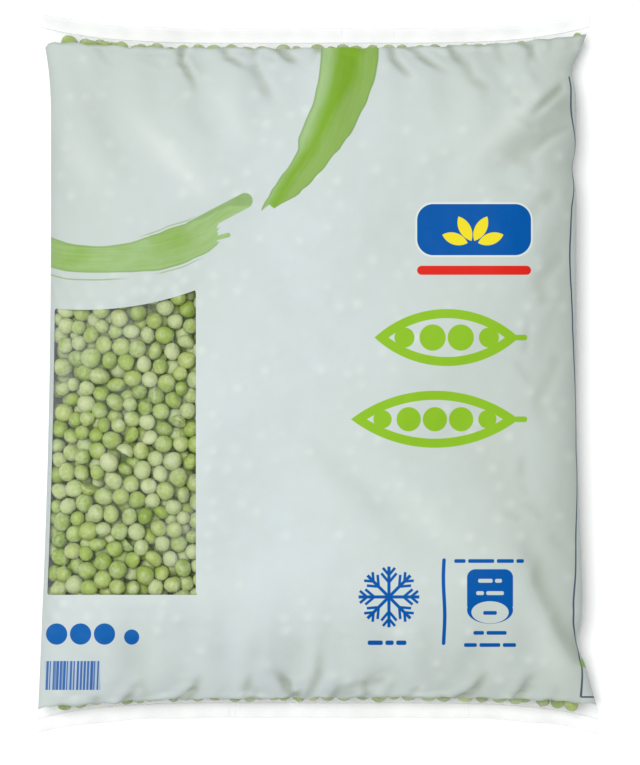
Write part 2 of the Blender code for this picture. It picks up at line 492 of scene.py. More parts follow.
def print_edge_gap(points):
    """How far a point of the film lies outside the print, towards the nearer seal, in metres."""
    x, y = points[..., 0], points[..., 1]
    u = np.clip(x / half_width(x, y), -1.0, 1.0)
    wave = sum(rise * np.sin(count * x / MM + phase) for rise, count, phase in MARGIN_WAVES)
    top = np.interp(u, *zip(*TOP_MARGIN)) + wave
    bottom = np.interp(u, *zip(*BOTTOM_MARGIN)) + wave
    above = y - seal_line(u, 1.0) + top * MM
    below = seal_line(u, -1.0) + bottom * MM - y
    return np.maximum(above, below)


def window_gap(points):
    """How far a point of the film lies inside the window, in metres; less than 0 outside it."""
    x, y = print_place(points)
    side = x + (half_width(np.full(y.shape, -1.0), points[..., 1])) / MM - WINDOW_SIDE_MARGIN
    arc_x, arc_y, radius = WINDOW_ARC
    arc = np.hypot(x - arc_x, y - arc_y) - radius
    return np.minimum.reduce([side, WINDOW_RIGHT - x, y - WINDOW_BOTTOM, arc]) * MM


# ================================================================ materials
class Value:
    """A shader socket that can stand in a sum: each operator adds its Math node."""

    def __init__(self, finish, socket):
        self.finish = finish
        self.socket = socket

    def __add__(self, other):
        return self.finish.maths("ADD", self, other)

    def __radd__(self, other):
        return self.finish.maths("ADD", other, self)

    def __sub__(self, other):
        return self.finish.maths("SUBTRACT", self, other)

    def __rsub__(self, other):
        return self.finish.maths("SUBTRACT", other, self)

    def __mul__(self, other):
        return self.finish.maths("MULTIPLY", self, other)

    def __rmul__(self, other):
        return self.finish.maths("MULTIPLY", other, self)

    def __truediv__(self, other):
        return self.finish.maths("DIVIDE", self, other)

    def __pow__(self, other):
        return self.finish.maths("POWER", self, other)

    def __abs__(self):
        return self.finish.maths("ABSOLUTE", self)

    def __and__(self, other):
        return self.finish.maths("MINIMUM", self, other)

    def __or__(self, other):
        return self.finish.maths("MAXIMUM", self, other)


class Finish:
    """A material that is written as expressions."""

    def __init__(self, name):
        self.material = bpy.data.materials.new(name)
        self.material.use_nodes = True
        self.tree = self.material.node_tree
        self.tree.nodes.clear()

    def node(self, kind, settings=None, values=None, output=0):
        """Adds a node: first its settings, then the values or links of its sockets. Returns an output."""
        made = self.tree.nodes.new("ShaderNode" + kind)
        for name, value in (settings or {}).items():
            if name == "curve":
                made.color_ramp.interpolation = value
            elif name == "stops":
                ramp = made.color_ramp
                while len(ramp.elements) < len(value):
                    ramp.elements.new(1.0)
                for element, (place, colour) in zip(ramp.elements, value):
                    element.position = place
                    element.color = colour
            else:
                setattr(made, name, value)
        for name, value in (values or {}).items():
            if isinstance(value, Value):
                self.tree.links.new(value.socket, made.inputs[name])
            else:
                made.inputs[name].default_value = value
        return Value(self, made.outputs[output]) if made.outputs else None

    def maths(self, operation, *values, clamp=False):
        return self.node("Math", {"operation": operation, "use_clamp": clamp}, dict(enumerate(values)))

    def vector(self, operation, *values, output=0, scale=None):
        sockets = dict(enumerate(values))
        if scale is not None:
            sockets["Scale"] = scale
        return self.node("VectorMath", {"operation": operation}, sockets, output)

    def mix(self, factor, first, last):
        """From the first colour at 0 to the last at 1."""
        return self.node("Mix", {"data_type": "RGBA"}, {0: factor, 6: first, 7: last}, 2)

    def noise(self, place, scale, detail=2.0, roughness=0.5, distortion=0.0):
        return self.node("TexNoise", {}, {"Vector": place, "Scale": scale, "Detail": detail,
                                         "Roughness": roughness, "Distortion": distortion})

    def attribute(self, name):
        return self.node("Attribute", {"attribute_name": name}, {}, 2)

    def split(self, place):
        made = self.node("SeparateXYZ", {}, {0: place}).socket.node
        return [Value(self, socket) for socket in made.outputs]

    def join(self, x, y, z=0.0):
        return self.node("CombineXYZ", {}, {0: x, 1: y, 2: z})

    def below(self, value, limit, soft=0.25):
        """1 where the value is under the limit, 0 above it, with an edge soft wide."""
        if isinstance(limit, Value):
            return self.maths("MULTIPLY_ADD", limit - value, 1.0 / soft, 0.5, clamp=True)
        return self.maths("MULTIPLY_ADD", value, -1.0 / soft, limit / soft + 0.5, clamp=True)

    def between(self, value, low, high, soft=0.25):
        middle, half = (low + high) / 2.0, (high - low) / 2.0
        return self.below(abs(value - middle), half, soft)

    def disc(self, place, x, y, radius, soft=0.25):
        return self.below(self.vector("DISTANCE", place, (x, y, 0.0), output=1), radius, soft)

    def block(self, place, x, y, half_x, half_y, corner, soft=0.25):
        """A rectangle with round corners."""
        away = self.vector("ABSOLUTE", self.vector("SUBTRACT", place, (x, y, 0.0)))
        past = self.vector("SUBTRACT", away, (half_x - corner, half_y - corner, 0.0))
        gap = self.vector("LENGTH", self.vector("MAXIMUM", past, (0.0, 0.0, 0.0)), output=1)
        return self.below(gap, corner, soft)

    def stroke(self, place, start, stop, half, soft=0.25):
        """A round-ended line from start to stop."""
        run = (stop[0] - start[0], stop[1] - start[1], 0.0)
        from_start = self.vector("SUBTRACT", place, (*start, 0.0))
        along = self.vector("DOT_PRODUCT", from_start, run, output=1)
        along = self.maths("MULTIPLY", along, 1.0 / (run[0] ** 2 + run[1] ** 2), clamp=True)
        off = self.vector("SUBTRACT", from_start, self.vector("SCALE", run, scale=along))
        return self.below(self.vector("LENGTH", off, output=1), half, soft)

    def profile(self, value, places, heights):
        """A smooth curve through heights at places in rising order."""
        low, high = min(heights) - 1.0, max(heights) + 1.0
        first, last = places[0], places[-1]
        stops = [((place - first) / (last - first), (*[(height - low) / (high - low)] * 3, 1.0))
                 for place, height in zip(places, heights)]
        share = self.maths("MULTIPLY_ADD", value, 1.0 / (last - first), -first / (last - first), clamp=True)
        level = self.node("ValToRGB", {"stops": stops, "curve": "CARDINAL"}, {0: share})
        return self.maths("MULTIPLY_ADD", level, high - low, low)

    def show(self, shader):
        self.node("OutputMaterial", {}, {"Surface": shader})
        return self.material


def shown(red, green, blue):
    """A colour given as display values from 0 to 255, as linear red, green and blue."""
    def linear(value):
        value = value / 255.0
        return value / 12.92 if value <= 0.04045 else ((value + 0.055) / 1.055) ** 2.4
    return linear(red), linear(green), linear(blue)


def opaque(colour):
    return (*colour, 1.0)


def darker(colour, share):
    return tuple(part * share for part in colour)


# ---------------------------------------------------------------- inks
def brushed_ink(finish, gaps, along, look):
    """Thinned ink inside an outline, with bristle streaks and a darker rim where it dried."""
    first, last = gaps
    inside = first & last
    streaks = finish.noise(finish.join(along * 0.03, first * 0.6), 1.0, 4.0, 0.65)
    pools = finish.noise(finish.join(along * 0.10, first * 0.12), 1.0, 2.0)
    mask = finish.below(0.0, inside + (streaks - 0.5) * 0.9, 0.5)
    rim = finish.below(inside, 0.9, 0.8)
    tone = finish.maths("MULTIPLY_ADD", streaks * 0.6 + pools * 0.4, 3.4, -1.2, clamp=True)
    return mask, rim, tone


def green_stripes(finish, place, x, y, colour, look):
    """Two curved brush stripes that meet nearly tip to tip."""
    full, wash = opaque(look.stripe_full), opaque(look.stripe_wash)
    soft, pale, rim_ink = opaque(look.stripe_soft), opaque(look.stripe_pale), opaque(look.stripe_rim)

    # the lower stripe: a broad body, a long finger and a small tooth at its right end
    places = [row[0] for row in LOW_STRIPE]
    bottom = finish.profile(x, places, [row[1] for row in LOW_STRIPE])
    top = finish.profile(x, places, [row[2] for row in LOW_STRIPE])
    mask, rim, tone = brushed_ink(finish, (y - bottom, top - y), x, look)
    bristles = finish.noise(finish.join(y * 0.9 - x * 0.55, 0.0), 0.8, 3.0, 0.7)
    mask = mask * finish.below(x + bristles * 9.0, LOW_STRIPE_END + 5.0, 0.8)
    for start, stop, half in (((-66.0, 76.0), (-38.2, 90.6), 4.1), ((-60.0, 69.0), (-47.0, 72.6), 1.2)):
        mask = mask | finish.stroke(place, start, stop, half, 0.6)
    under = finish.below(abs(y - bottom + 3.4 - finish.maths("SINE", x * 0.06) * 0.5), 0.35, 0.4)
    under = under * finish.below(x, -104.0, 12.0)
    over = finish.below(abs(y - top - 1.3), 0.35, 0.5) * finish.between(x, -92.0, -66.0, 6.0)
    side = finish.below(abs(y - bottom + 1.5), 0.35, 0.5) * finish.between(x, -84.0, -62.0, 6.0)
    deep = finish.disc(place, -76.0, 70.5, 8.5, 12.0) | (finish.disc(place, -128.0, 63.5, 11.0, 14.0) * 0.8)
    ink = finish.mix(tone, pale, soft)
    ink = finish.mix(deep * (tone * 0.6 + 0.4), ink, opaque(look.stripe_low))
    ink = finish.mix(rim * 0.35, ink, rim_ink)
    colour = finish.mix(mask | (under * 0.8) | (over | side) * 0.7, colour, ink)

    # the upper stripe, with a full core that runs down to its tip
    places = [-row[0] for row in HIGH_STRIPE]
    down = y * -1.0
    left, right, core, core_half = (
        finish.profile(down, places, [row[number] for row in HIGH_STRIPE]) for number in (1, 2, 3, 4))
    mask, rim, tone = brushed_ink(finish, (x - left, right - x), y, look)
    mask = mask * finish.below(down + abs(x + 25.4) * -0.8, -88.6, 0.8)
    across = x - core
    fraying = (tone - 0.5) * 3.4
    core_ink = finish.below(abs(across) * 1.15 + fraying, core_half, 6.5)
    ink = finish.mix(finish.below(across, -2.0, 9.0), wash, pale)
    ink = finish.mix(tone * 0.45, ink, soft)
    ink = finish.mix(rim * 0.5, ink, rim_ink)
    ink = finish.mix(core_ink * (tone * 0.18 + 0.78), ink, full)
    return finish.mix(mask, colour, ink)


def pea_pod(finish, place, x, y, middle, half_length, half_height, peas):
    """An open pod seen from the side: a pointed outline with a row of peas in it."""
    mx, my = middle
    radius = (half_length ** 2 + half_height ** 2) / (2.0 * half_height)
    rise = radius - half_height
    over = finish.vector("DISTANCE", place, (mx, my + rise, 0.0), output=1)
    under = finish.vector("DISTANCE", place, (mx, my - rise, 0.0), output=1)
    reach = over | under
    outline = finish.below(reach, radius) * (1.0 - finish.below(reach, radius - 4.8))
    pitch = 2.0 * half_length * 0.78 / peas
    from_middle = x - mx
    step = finish.maths("WRAP", from_middle, pitch / 2.0, -pitch / 2.0)
    if peas % 2 == 0:
        step = finish.maths("WRAP", from_middle + pitch / 2.0, pitch / 2.0, -pitch / 2.0)
    number = abs(from_middle - step) / half_length
    size = (1.0 - number ** 2.0) * (half_height - 4.8) - 1.4
    size = size & (pitch / 2.0 - 0.5)
    gap = finish.maths("SQRT", step * step + (y - my) ** 2.0)
    in_row = finish.below(abs(from_middle), half_length * 0.8)
    seeds = finish.below(gap, size) * in_row
    stalk = finish.block(place, mx + half_length + 1.0, my + 0.0, 3.4, 1.5, 1.4)
    return outline | seeds | stalk


def leaf(finish, place, root, turn, length, half_width_mm):
    """A pointed leaf from its root, turned from the X axis."""
    radius = (length ** 2 / 4.0 + half_width_mm ** 2) / (2.0 * half_width_mm)
    c, s = math.cos(math.radians(turn)), math.sin(math.radians(turn))
    mx, my = root[0] + c * length / 2.0, root[1] + s * length / 2.0
    rise = radius - half_width_mm
    over = finish.vector("DISTANCE", place, (mx - s * rise, my + c * rise, 0.0), output=1)
    under = finish.vector("DISTANCE", place, (mx + s * rise, my - c * rise, 0.0), output=1)
    return finish.below(over | under, radius)


def label(finish, place, x, y, colour, look):
    """A plain blue plaque with a yellow sprig, a red bar, and two green pods beneath."""
    halo = opaque(look.pale_film_and_painted_light)
    blue, yellow, red = opaque(look.blue), opaque(look.yellow), opaque(look.red)
    colour = finish.mix(finish.block(place, 82.4, 75.4, 30.8, 14.3, 9.3, 0.8) * 0.7, colour, halo)
    colour = finish.mix(finish.block(place, 82.4, 75.4, 30.0, 13.5, 8.5), colour, blue)
    sprig = leaf(finish, place, (81.0, 69.5), 118.0, 14.5, 3.1)
    for root, turn, length in (((82.5, 69.5), 62.0, 14.5), ((84.5, 68.4), 18.0, 14.0),
                               ((79.0, 68.4), 162.0, 14.0)):
        sprig = sprig | leaf(finish, place, root, turn, length, 3.1)
    colour = finish.mix(sprig, colour, yellow)
    colour = finish.mix(finish.block(place, 82.4, 54.0, 30.0, 2.4, 2.4), colour, red)
    for middle, half_length, peas in (((68.0, 18.6), 38.0, 4), ((61.8, -24.4), 44.2, 5)):
        pod = pea_pod(finish, place, x, y, middle, half_length, 15.0, peas)
        colour = finish.mix(pod, colour, opaque(look.lime))
    return colour


def snowflake(finish, place, middle, reach):
    """Eight arms with two pairs of twigs each, folded onto one half of one arm."""
    dx, dy, _ = finish.split(finish.vector("SUBTRACT", place, (*middle, 0.0)))
    far = finish.maths("SQRT", dx * dx + dy * dy)
    turn = finish.maths("ARCTAN2", dy, dx)
    fold_turn = abs(finish.maths("WRAP", turn, math.pi / 8.0, -math.pi / 8.0))
    along = far * finish.maths("COSINE", fold_turn)
    off = far * finish.maths("SINE", fold_turn)
    shape = finish.below(off, 0.85) * finish.below(along, reach)
    spread_x, spread_y = math.cos(0.70), math.sin(0.70)
    for root, length in ((0.48 * reach, 0.39 * reach), (0.72 * reach, 0.31 * reach)):
        past = along - root
        run = past * spread_x + off * spread_y
        gap = abs(past * spread_y - off * spread_x)
        shape = shape | (finish.below(gap, 0.72) * finish.between(run, 0.0, length))
    return shape


def dashes(finish, place, middle, half_height, lengths, gap=1.3):
    """A centred row of short bars, where small print would stand."""
    start = middle[0] - (sum(lengths) + gap * (len(lengths) - 1)) / 2.0
    row = None
    for size in lengths:
        bar = finish.block(place, start + size / 2.0, middle[1], size / 2.0, half_height, half_height * 0.8)
        row = bar if row is None else row | bar
        start += size + gap
    return row


def storage_marks(finish, place, x, y, colour, look):
    """Snowflake, dividing line and portion badge."""
    blue = opaque(look.blue)
    marks = snowflake(finish, place, (37.6, -117.9), 16.0)
    marks = marks | dashes(finish, place, (36.6, -142.0), 1.2, (8.0, 4.4, 5.4))
    wavy = finish.join(x + finish.maths("SINE", y * 0.16) * 0.35, y)
    marks = marks | finish.block(wavy, 66.6, -120.4, 0.95, 22.8, 0.9)
    marks = marks | dashes(finish, place, (90.3, -99.0), 1.0, (6.0, 13.8, 9.0, 4.0))
    marks = marks | dashes(finish, place, (90.8, -136.8), 1.0, (5.6, 10.6))
    marks = marks | dashes(finish, place, (90.8, -143.2), 1.0, (6.8, 11.0, 7.0))
    low = finish.vector("MULTIPLY", finish.vector("SUBTRACT", place, (90.8, -124.8, 0.0)), (1.0, 1.68, 0.0))
    badge = finish.block(place, 90.8, -114.9, 12.1, 11.6, 4.4)
    badge = badge | finish.below(finish.vector("LENGTH", low, output=1), 12.1)
    flat = finish.vector("MULTIPLY", finish.vector("SUBTRACT", place, (90.8, -126.0, 0.0)), (1.0, 1.68, 0.0))
    bare = finish.below(finish.vector("LENGTH", flat, output=1), 9.8)
    bare = bare | dashes(finish, place, (90.8, -109.4), 1.0, (7.6, 3.6))
    bare = bare | dashes(finish, place, (90.8, -115.9), 1.0, (4.0, 9.2))
    marks = marks | badge * (1.0 - bare) | dashes(finish, place, (90.8, -126.3), 1.0, (7.2,))
    return finish.mix(marks, colour, blue)


def weight_marks(finish, place, x, y, colour, look):
    """A row of blue peas and, beneath, a block of upright stripes."""
    step = finish.maths("WRAP", x + 137.3, 6.3, -6.3)
    row = finish.maths("SQRT", step * step + (y + 137.4) ** 2.0)
    peas = finish.below(row, 5.6) * finish.between(x, -143.5, -94.0)
    peas = peas * (1.0 - finish.disc(place, -99.5, -137.4, 7.0))
    peas = peas | finish.disc(place, -97.8, -139.0, 4.0)
    ink = finish.mix(finish.noise(place, 0.09) * 0.4, opaque(look.blue), opaque(look.blue_light))
    colour = finish.mix(peas, colour, ink)
    block = finish.block(place, -129.0, -159.2, 14.6, 7.6, 0.3)
    leaning = x + (y + 159.2) * -0.04
    fine = finish.maths("FRACT", leaning * 0.56)
    wide = finish.noise(finish.join(leaning, 0.0), 0.34, 2.0, 0.7)
    bars = finish.below(fine, finish.maths("MULTIPLY_ADD", wide, 3.4, -1.1), 0.2)
    colour = finish.mix(block * finish.maths("MULTIPLY_ADD", wide, 1.6, -0.45, clamp=True), colour,
                        opaque(look.blue_light))
    return finish.mix(block * bars * 0.85, colour, opaque(look.blue))


def side_marks(finish, place, x, y, colour, look):
    """The back's thin blue frame where it comes round the right side."""
    run = finish.attribute("side_run")
    frame_run = finish.profile(y, [row[0] for row in FRAME_RUN], [row[1] for row in FRAME_RUN])
    line = finish.below(abs(run - frame_run), 0.75, 0.5) * finish.between(y, -170.5, 176.0)
    foot = finish.below(abs(y + 170.5), 0.45) * finish.below(run, frame_run, 0.5)
    head = finish.below(abs(y - 176.0), 0.45) * finish.below(run, frame_run, 0.5)
    colour = finish.mix(finish.below(run, frame_run, 1.0) * 0.35, colour, opaque(look.film_cool))
    colour = finish.mix((line | foot | head) * 0.9, colour, opaque(look.blue_deep))
    return finish.mix(finish.disc(place, 140.4, -152.4, 2.4, 1.2) * 0.8, colour, opaque(look.stripe_full))


# Each field of the front: name, what is printed on it, its box (x low, x high, y low, y high)
FRONT_FIELDS = (
    ("stripes", green_stripes, (-150.0, 40.0, 40.0, 190.0)),
    ("label", label, (14.0, 116.0, -44.0, 92.0)),
    ("storage", storage_marks, (18.0, 112.0, -150.0, -94.0)),
    ("weight", weight_marks, (-150.0, -88.0, -172.0, -127.0)),
    ("side", side_marks, (127.0, 156.0, -190.0, 156.0)),
)


# ---------------------------------------------------------------- film
def printed_film(name, look, prints=None):
    """Satin film, milky white inside, with the ink on top, and with painted shade and light in its colour:
    shade towards the right side, the top left corner and the ends, light and shade on the swells, shade in
    the folds and along the print's edges.
    """
    finish = Finish(name)
    raw = finish.node("TexCoord", {}, {}, 3)
    raw_x, raw_y, raw_z = finish.split(raw)
    spread = finish.maths("MULTIPLY_ADD", raw_z, FILM_TAKE_UP / MM, (1.0 - FILM_TAKE_UP * SIDE_RIM) / MM)
    x, y = raw_x * spread, raw_y * spread
    place = finish.join(x, y)
    clouds = finish.noise(place, 0.014, 3.0, 0.55)
    blotches = finish.noise(place, 0.075, 3.0, 0.6)
    greener = finish.maths("MULTIPLY_ADD", clouds * 0.6 + blotches * 0.4, 3.2, -1.15, clamp=True)
    colour = finish.mix(greener, opaque(look.film_cool), opaque(look.film_green))
    # Painted shade: the print darkens towards the right side, the top left corner and both ends, where the
    # bulge turns away from the light.
    shade_to_right = finish.maths("MULTIPLY_ADD", x, 1.0 / 90.0, 0.0, clamp=True) * 0.40
    shade_to_right = shade_to_right + finish.maths("MULTIPLY_ADD", x, 1.0 / 16.0, -7.0, clamp=True) * 0.20
    corner = finish.maths("MULTIPLY_ADD", y * 0.5 - x, 1.0 / 130.0, -0.45, clamp=True)
    shade_to_ends = finish.maths("MULTIPLY_ADD", abs(y), 1.0 / 80.0, -1.35, clamp=True)
    colour = finish.mix(shade_to_right | corner * 0.35 | shade_to_ends * 0.12, colour, opaque(look.film_shade))
    # Painted light on the crests of the broad swells and painted shade in their troughs.
    colour = finish.mix(finish.attribute("pressed") * 0.32, colour, opaque(look.pale_film_and_painted_light))
    colour = finish.mix(finish.attribute("hanging") * 0.2, colour, opaque(look.painted_crease_shade))
    touch = finish.attribute("touch")
    colour = finish.mix(finish.maths("MULTIPLY", touch, 0.31, clamp=True), colour, opaque(look.pale_film_and_painted_light))
    # Painted shade deep in the folds and in a thin line along the print's edges.
    colour = finish.mix(finish.attribute("crease") * 0.6, colour, opaque(look.painted_crease_shade))
    if prints is not None:
        colour = prints(finish, place, x, y, colour, look)
    grain = finish.noise(raw, 900.0, 3.0, 0.6)
    drape = finish.noise(raw, 85.0, 3.0, 0.55)
    relief = grain * 0.15 + drape
    bump = finish.node("Bump", {}, {"Strength": 0.55, "Distance": 0.0006, "Height": relief})
    shader = finish.node("BsdfPrincipled", {}, {
        "Base Color": colour,
        "Roughness": finish.maths("MULTIPLY_ADD", blotches, 0.16, look.film_roughness - 0.08),
        "Specular IOR Level": 0.025,
        "Normal": bump,
    })
    return finish.show(shader)


def clear_film(name, look, haziness=1.0, from_side=0.4):
    """Clear film with a little haze, more where it creases or is seen from the side, and a painted highlight
    where it touches the peas.
    """
    finish = Finish(name)
    place = finish.node("TexCoord", {}, {}, 3)
    haze = finish.noise(place, 21.0, 3.0, 0.6)
    haze = finish.maths("MULTIPLY_ADD", haze, 3.6, -1.9, clamp=True)
    drawn = finish.node("Mapping", {}, {"Vector": place, "Rotation": (0.0, 0.0, 0.6),
                                       "Scale": (420.0, 46.0, 60.0)})
    scuffs = finish.noise(drawn, 1.0, 2.0, 0.5)
    scuffs = finish.maths("MULTIPLY_ADD", scuffs, 7.0, -4.6, clamp=True)
    edge_on = finish.node("LayerWeight", {}, {"Blend": 0.35}, 1)
    x, y, _ = finish.split(place)
    level = finish.join(x, y)
    patch = finish.disc(level, -0.101, -0.066, 0.004, 0.026) | finish.disc(level, -0.104, 0.025, 0.014, 0.030)
    # Painted highlight: whitish haze where the film touches the peas, standing in for glare.
    contact_glare = finish.attribute("touch") * finish.noise(place, 420.0, 3.0, 0.6)
    contact_glare = finish.maths("MULTIPLY_ADD", contact_glare, 3.2, -0.7, clamp=True)
    milk = haze * 0.12 + patch * (haze * 0.6 + 0.4) * 0.20 + contact_glare * 0.16 + scuffs * 0.15
    edge = finish.attribute("edge")
    cut = finish.maths("MULTIPLY_ADD", edge, 0.75, -0.3, clamp=True)
    cover = (milk + look.haze) * haziness + edge_on * from_side + cut
    relief = finish.noise(place, 120.0, 3.0, 0.6)
    bump = finish.node("Bump", {}, {"Strength": 0.6, "Distance": 0.0006, "Height": relief})
    film = finish.node("BsdfPrincipled", {}, {
        "Base Color": finish.mix(edge, opaque(look.haze_colour), opaque(look.edge_colour)),
        "Roughness": 0.22, "IOR": 1.5, "Normal": bump})
    bare = finish.node("BsdfTransparent", {}, {"Color": (1.0, 1.0, 1.0, 1.0)})
    shader = finish.node("MixShader", {}, {0: finish.maths("MINIMUM", cover, 0.9), 1: bare, 2: film})
    return finish.show(shader)


def pea_skin(name, look, frosting):
    """Frosted pea skin: greens that differ from pea to pea, with pale rime on top."""
    finish = Finish(name)
    place = finish.node("TexCoord", {}, {}, 3)
    tint = finish.attribute("tint")
    rime = finish.attribute("rime")
    blush = finish.noise(place, 190.0, 3.0, 0.6)
    tone = finish.maths("MULTIPLY_ADD", blush, 0.9, -0.45) + tint
    skin = finish.node("ValToRGB", {"stops": (
        (0.0, opaque(look.pea_deep)), (0.35, opaque(look.pea_fresh)), (0.7, opaque(look.pea_soft)),
        (1.0, opaque(look.pea_pale)))}, {0: tone})
    frost = finish.noise(place, 620.0, 4.0, 0.65)
    patches = finish.noise(place, 210.0, 2.0, 0.5)
    frost = finish.maths("MULTIPLY_ADD", frost * 0.5 + patches * 0.5 + rime * 0.3, 4.6, -2.35, clamp=True)
    colour = finish.mix(frost * frosting, skin, opaque(look.rime))
    grain = finish.noise(place, 900.0, 3.0, 0.6) * 0.4 + finish.noise(place, 300.0, 2.0, 0.5)
    bump = finish.node("Bump", {}, {"Strength": 0.7, "Distance": 0.0009, "Height": grain})
    shader = finish.node("BsdfPrincipled", {}, {
        "Base Color": colour,
        "Roughness": finish.maths("MULTIPLY_ADD", frost, 0.2, 0.42),
        "IOR": 1.4,
        "Subsurface Weight": 0.25,
        "Subsurface Radius": (0.8, 1.0, 0.35),
        "Subsurface Scale": 0.0022,
        "Normal": bump,
    })
    return finish.show(shader)


def pea_heap(name, look):
    """The peas further in, which only show in the gaps between the others."""
    finish = Finish(name)
    place = finish.node("TexCoord", {}, {}, 3)
    mottle = finish.noise(place, 150.0, 3.0, 0.6)
    colour = finish.mix(mottle, opaque(look.pea_hidden), opaque(look.pea_deep))
    bump = finish.node("Bump", {}, {"Strength": 0.4, "Distance": 0.0005,
                                   "Height": finish.noise(place, 500.0, 3.0)})
    shader = finish.node("BsdfPrincipled", {}, {
        "Base Color": colour, "Roughness": finish.maths("MULTIPLY_ADD", mottle, 0.2, 0.5), "Normal": bump})
    return finish.show(shader)


# ================================================================ peas
@functools.lru_cache(maxsize=None)
def round_cage(cells):
    """Points on a ball of radius 1 and its quads: a cube's grid, blown up."""
    steps = np.tan(np.linspace(-math.pi / 4, math.pi / 4, cells + 1))
    a, b = np.meshgrid(steps, steps)
    one = np.ones(a.shape)
    sides = [np.stack(side, -1).reshape(-1, 3) for side in (
        (one, a, b), (-one, b, a), (b, one, a), (a, -one, b), (a, b, one), (b, a, -one))]
    index = np.arange((cells + 1) ** 2).reshape(cells + 1, cells + 1)
    quad = np.stack([index[:-1, :-1], index[:-1, 1:], index[1:, 1:], index[1:, :-1]], -1).reshape(-1, 4)
    points = np.concatenate(sides)
    quads = np.concatenate([quad + number * index.size for number in range(6)])
    _, first, merged = np.unique(np.round(points, 5), axis=0, return_index=True, return_inverse=True)
    points = points[first] / np.linalg.norm(points[first], axis=1, keepdims=True)
    return points, merged.reshape(-1)[quads]


def unit(rng, *shape):
    vector = rng.normal(size=(*shape, 3))
    return vector / np.linalg.norm(vector, axis=-1, keepdims=True)


def pea_shape(rng, cage):
    """One pea of radius about 1: round or a little squeezed, dented, creased, nicked or split."""
    reach = np.ones(len(cage))
    for _ in range(4):
        wave = np.sin(rng.uniform(1.5, 4.5) * (cage @ unit(rng)) + rng.uniform(0.0, 6.0))
        reach += rng.uniform(0.0, 0.045) * wave
    kind = rng.uniform()
    if kind < 0.575:
        for _ in range(rng.integers(1, 4)):
            reach -= rng.uniform(0.04, 0.17) * np.exp(-((1.0 - cage @ unit(rng)) / rng.uniform(0.05, 0.22)))
    if kind > 0.62:
        pole, other = unit(rng), unit(rng)
        crease = np.exp(-((cage @ pole / 0.10) ** 2)) * smooth((cage @ other + 0.3) / 0.6)
        reach -= rng.uniform(0.03, 0.10) * crease
    if kind > 0.90:
        for _ in range(4):
            ripple = np.sin(rng.uniform(7.0, 12.0) * (cage @ unit(rng)) + rng.uniform(0, 6))
            reach += 0.018 * ripple
    tip = np.exp(-((1.0 - cage @ unit(rng)) / 0.012))
    reach += rng.uniform(0.02, 0.10) * tip
    shape = cage * reach[:, None]
    squeeze = unit(rng)
    along = shape @ squeeze
    shape = shape + np.outer(along, squeeze) * rng.normal(-0.05, 0.12)
    if 0.575 < kind < 0.60:
        cut = unit(rng)
        shape = shape - np.outer(np.maximum(shape @ cut - 0.12, 0.0) * 0.92, cut)
    return shape / max(1.0, np.linalg.norm(shape, axis=1).max() / 1.04)


def pea_mesh(name, rng, centres, radii, cells, tone=0.60):
    """All the peas of one group as one mesh, each its own shape and tint."""
    cage, quads = round_cage(cells)
    points = [centre + radius * pea_shape(rng, cage) for centre, radius in zip(centres, radii)]
    faces = [quads + number * len(cage) for number in range(len(centres))]
    tint = np.repeat(np.clip(rng.normal(tone, 0.14, len(centres)), 0.0, 1.0), len(cage))
    rime = np.repeat(rng.uniform(0.0, 1.0, len(centres)) ** 1.5, len(cage))
    return make_mesh(name, np.concatenate(points), np.concatenate(faces),
                     attributes={"tint": tint, "rime": rime})


def film_overshoot(centres, radii, sunk):
    """For rays all round each pea, how far its skin there lies outside the films or too near them.

    A pea is sunk by that much under the front film, or may lift it where sunk is negative.
    """
    rays, _ = round_cage(2)
    skin = centres[:, None] + rays * radii[:, None, None]
    x, y, z = skin[..., 0], skin[..., 1], skin[..., 2]
    u, _ = film_shares(x, y)
    beside = np.abs(x) - half_width(x, y)
    beyond = np.maximum(y - seal_line(u, 1.0), seal_line(u, -1.0) - y)
    loose = smooth(-beside / 0.005) * smooth(-beyond / 0.002)
    sunk = np.reshape(sunk, (-1, 1))
    over = z - film_height(x, y, True) + np.where(rays[:, 2] > 0.7, np.maximum(sunk, 0.0), 0.0)
    over = over + loose * np.minimum(sunk, 0.0)
    under = film_height(x, y, False) - z + 0.0009
    return rays, np.maximum.reduce([over, under, beside + 0.0002, beyond + 0.0002])


def pushed_inside(centres, radii, sunk):
    """Peas that reach through the film are pushed back from it, and sunk a little where it is level."""
    rays, overshoot = film_overshoot(centres, radii * 1.04, sunk)
    push = np.clip(overshoot, 0.0, 0.0012)[..., None] * rays
    return centres - 0.4 * push.sum(1)


def settled(centres, radii, drift, limits, sunk, rounds=110):
    """Loose peas pushed apart until they only touch, held inside the limits and off the film.

    Those that still reach through the film at the end are taken out.
    """
    for turn in range(rounds):
        if turn % 6 == 0:
            first, last = np.triu_indices(len(centres), 1)
            near = np.linalg.norm(centres[first] - centres[last], axis=1) < 2.6 * radii.max()
            first, last = first[near], last[near]
        centres = centres + drift * (1.0 - turn / rounds)
        gap = centres[first] - centres[last]
        far = np.maximum(np.linalg.norm(gap, axis=1), 1e-6)
        overlap = np.maximum(0.96 * (radii[first] + radii[last]) - far, 0.0)
        push = gap * (0.5 * overlap / far)[:, None]
        np.add.at(centres, first, push)
        np.add.at(centres, last, -push)
        centres = pushed_inside(limits(centres), radii, sunk(centres))
    kept = film_overshoot(centres, radii * 1.03, np.minimum(sunk(centres), 0.0))[1].max(1) < 0.0005
    return centres[kept], radii[kept]


def pea_radii(rng, count, look):
    return look.diameter / 2.0 * np.clip(rng.normal(1.0, look.unevenness, count), 0.74, 1.18)


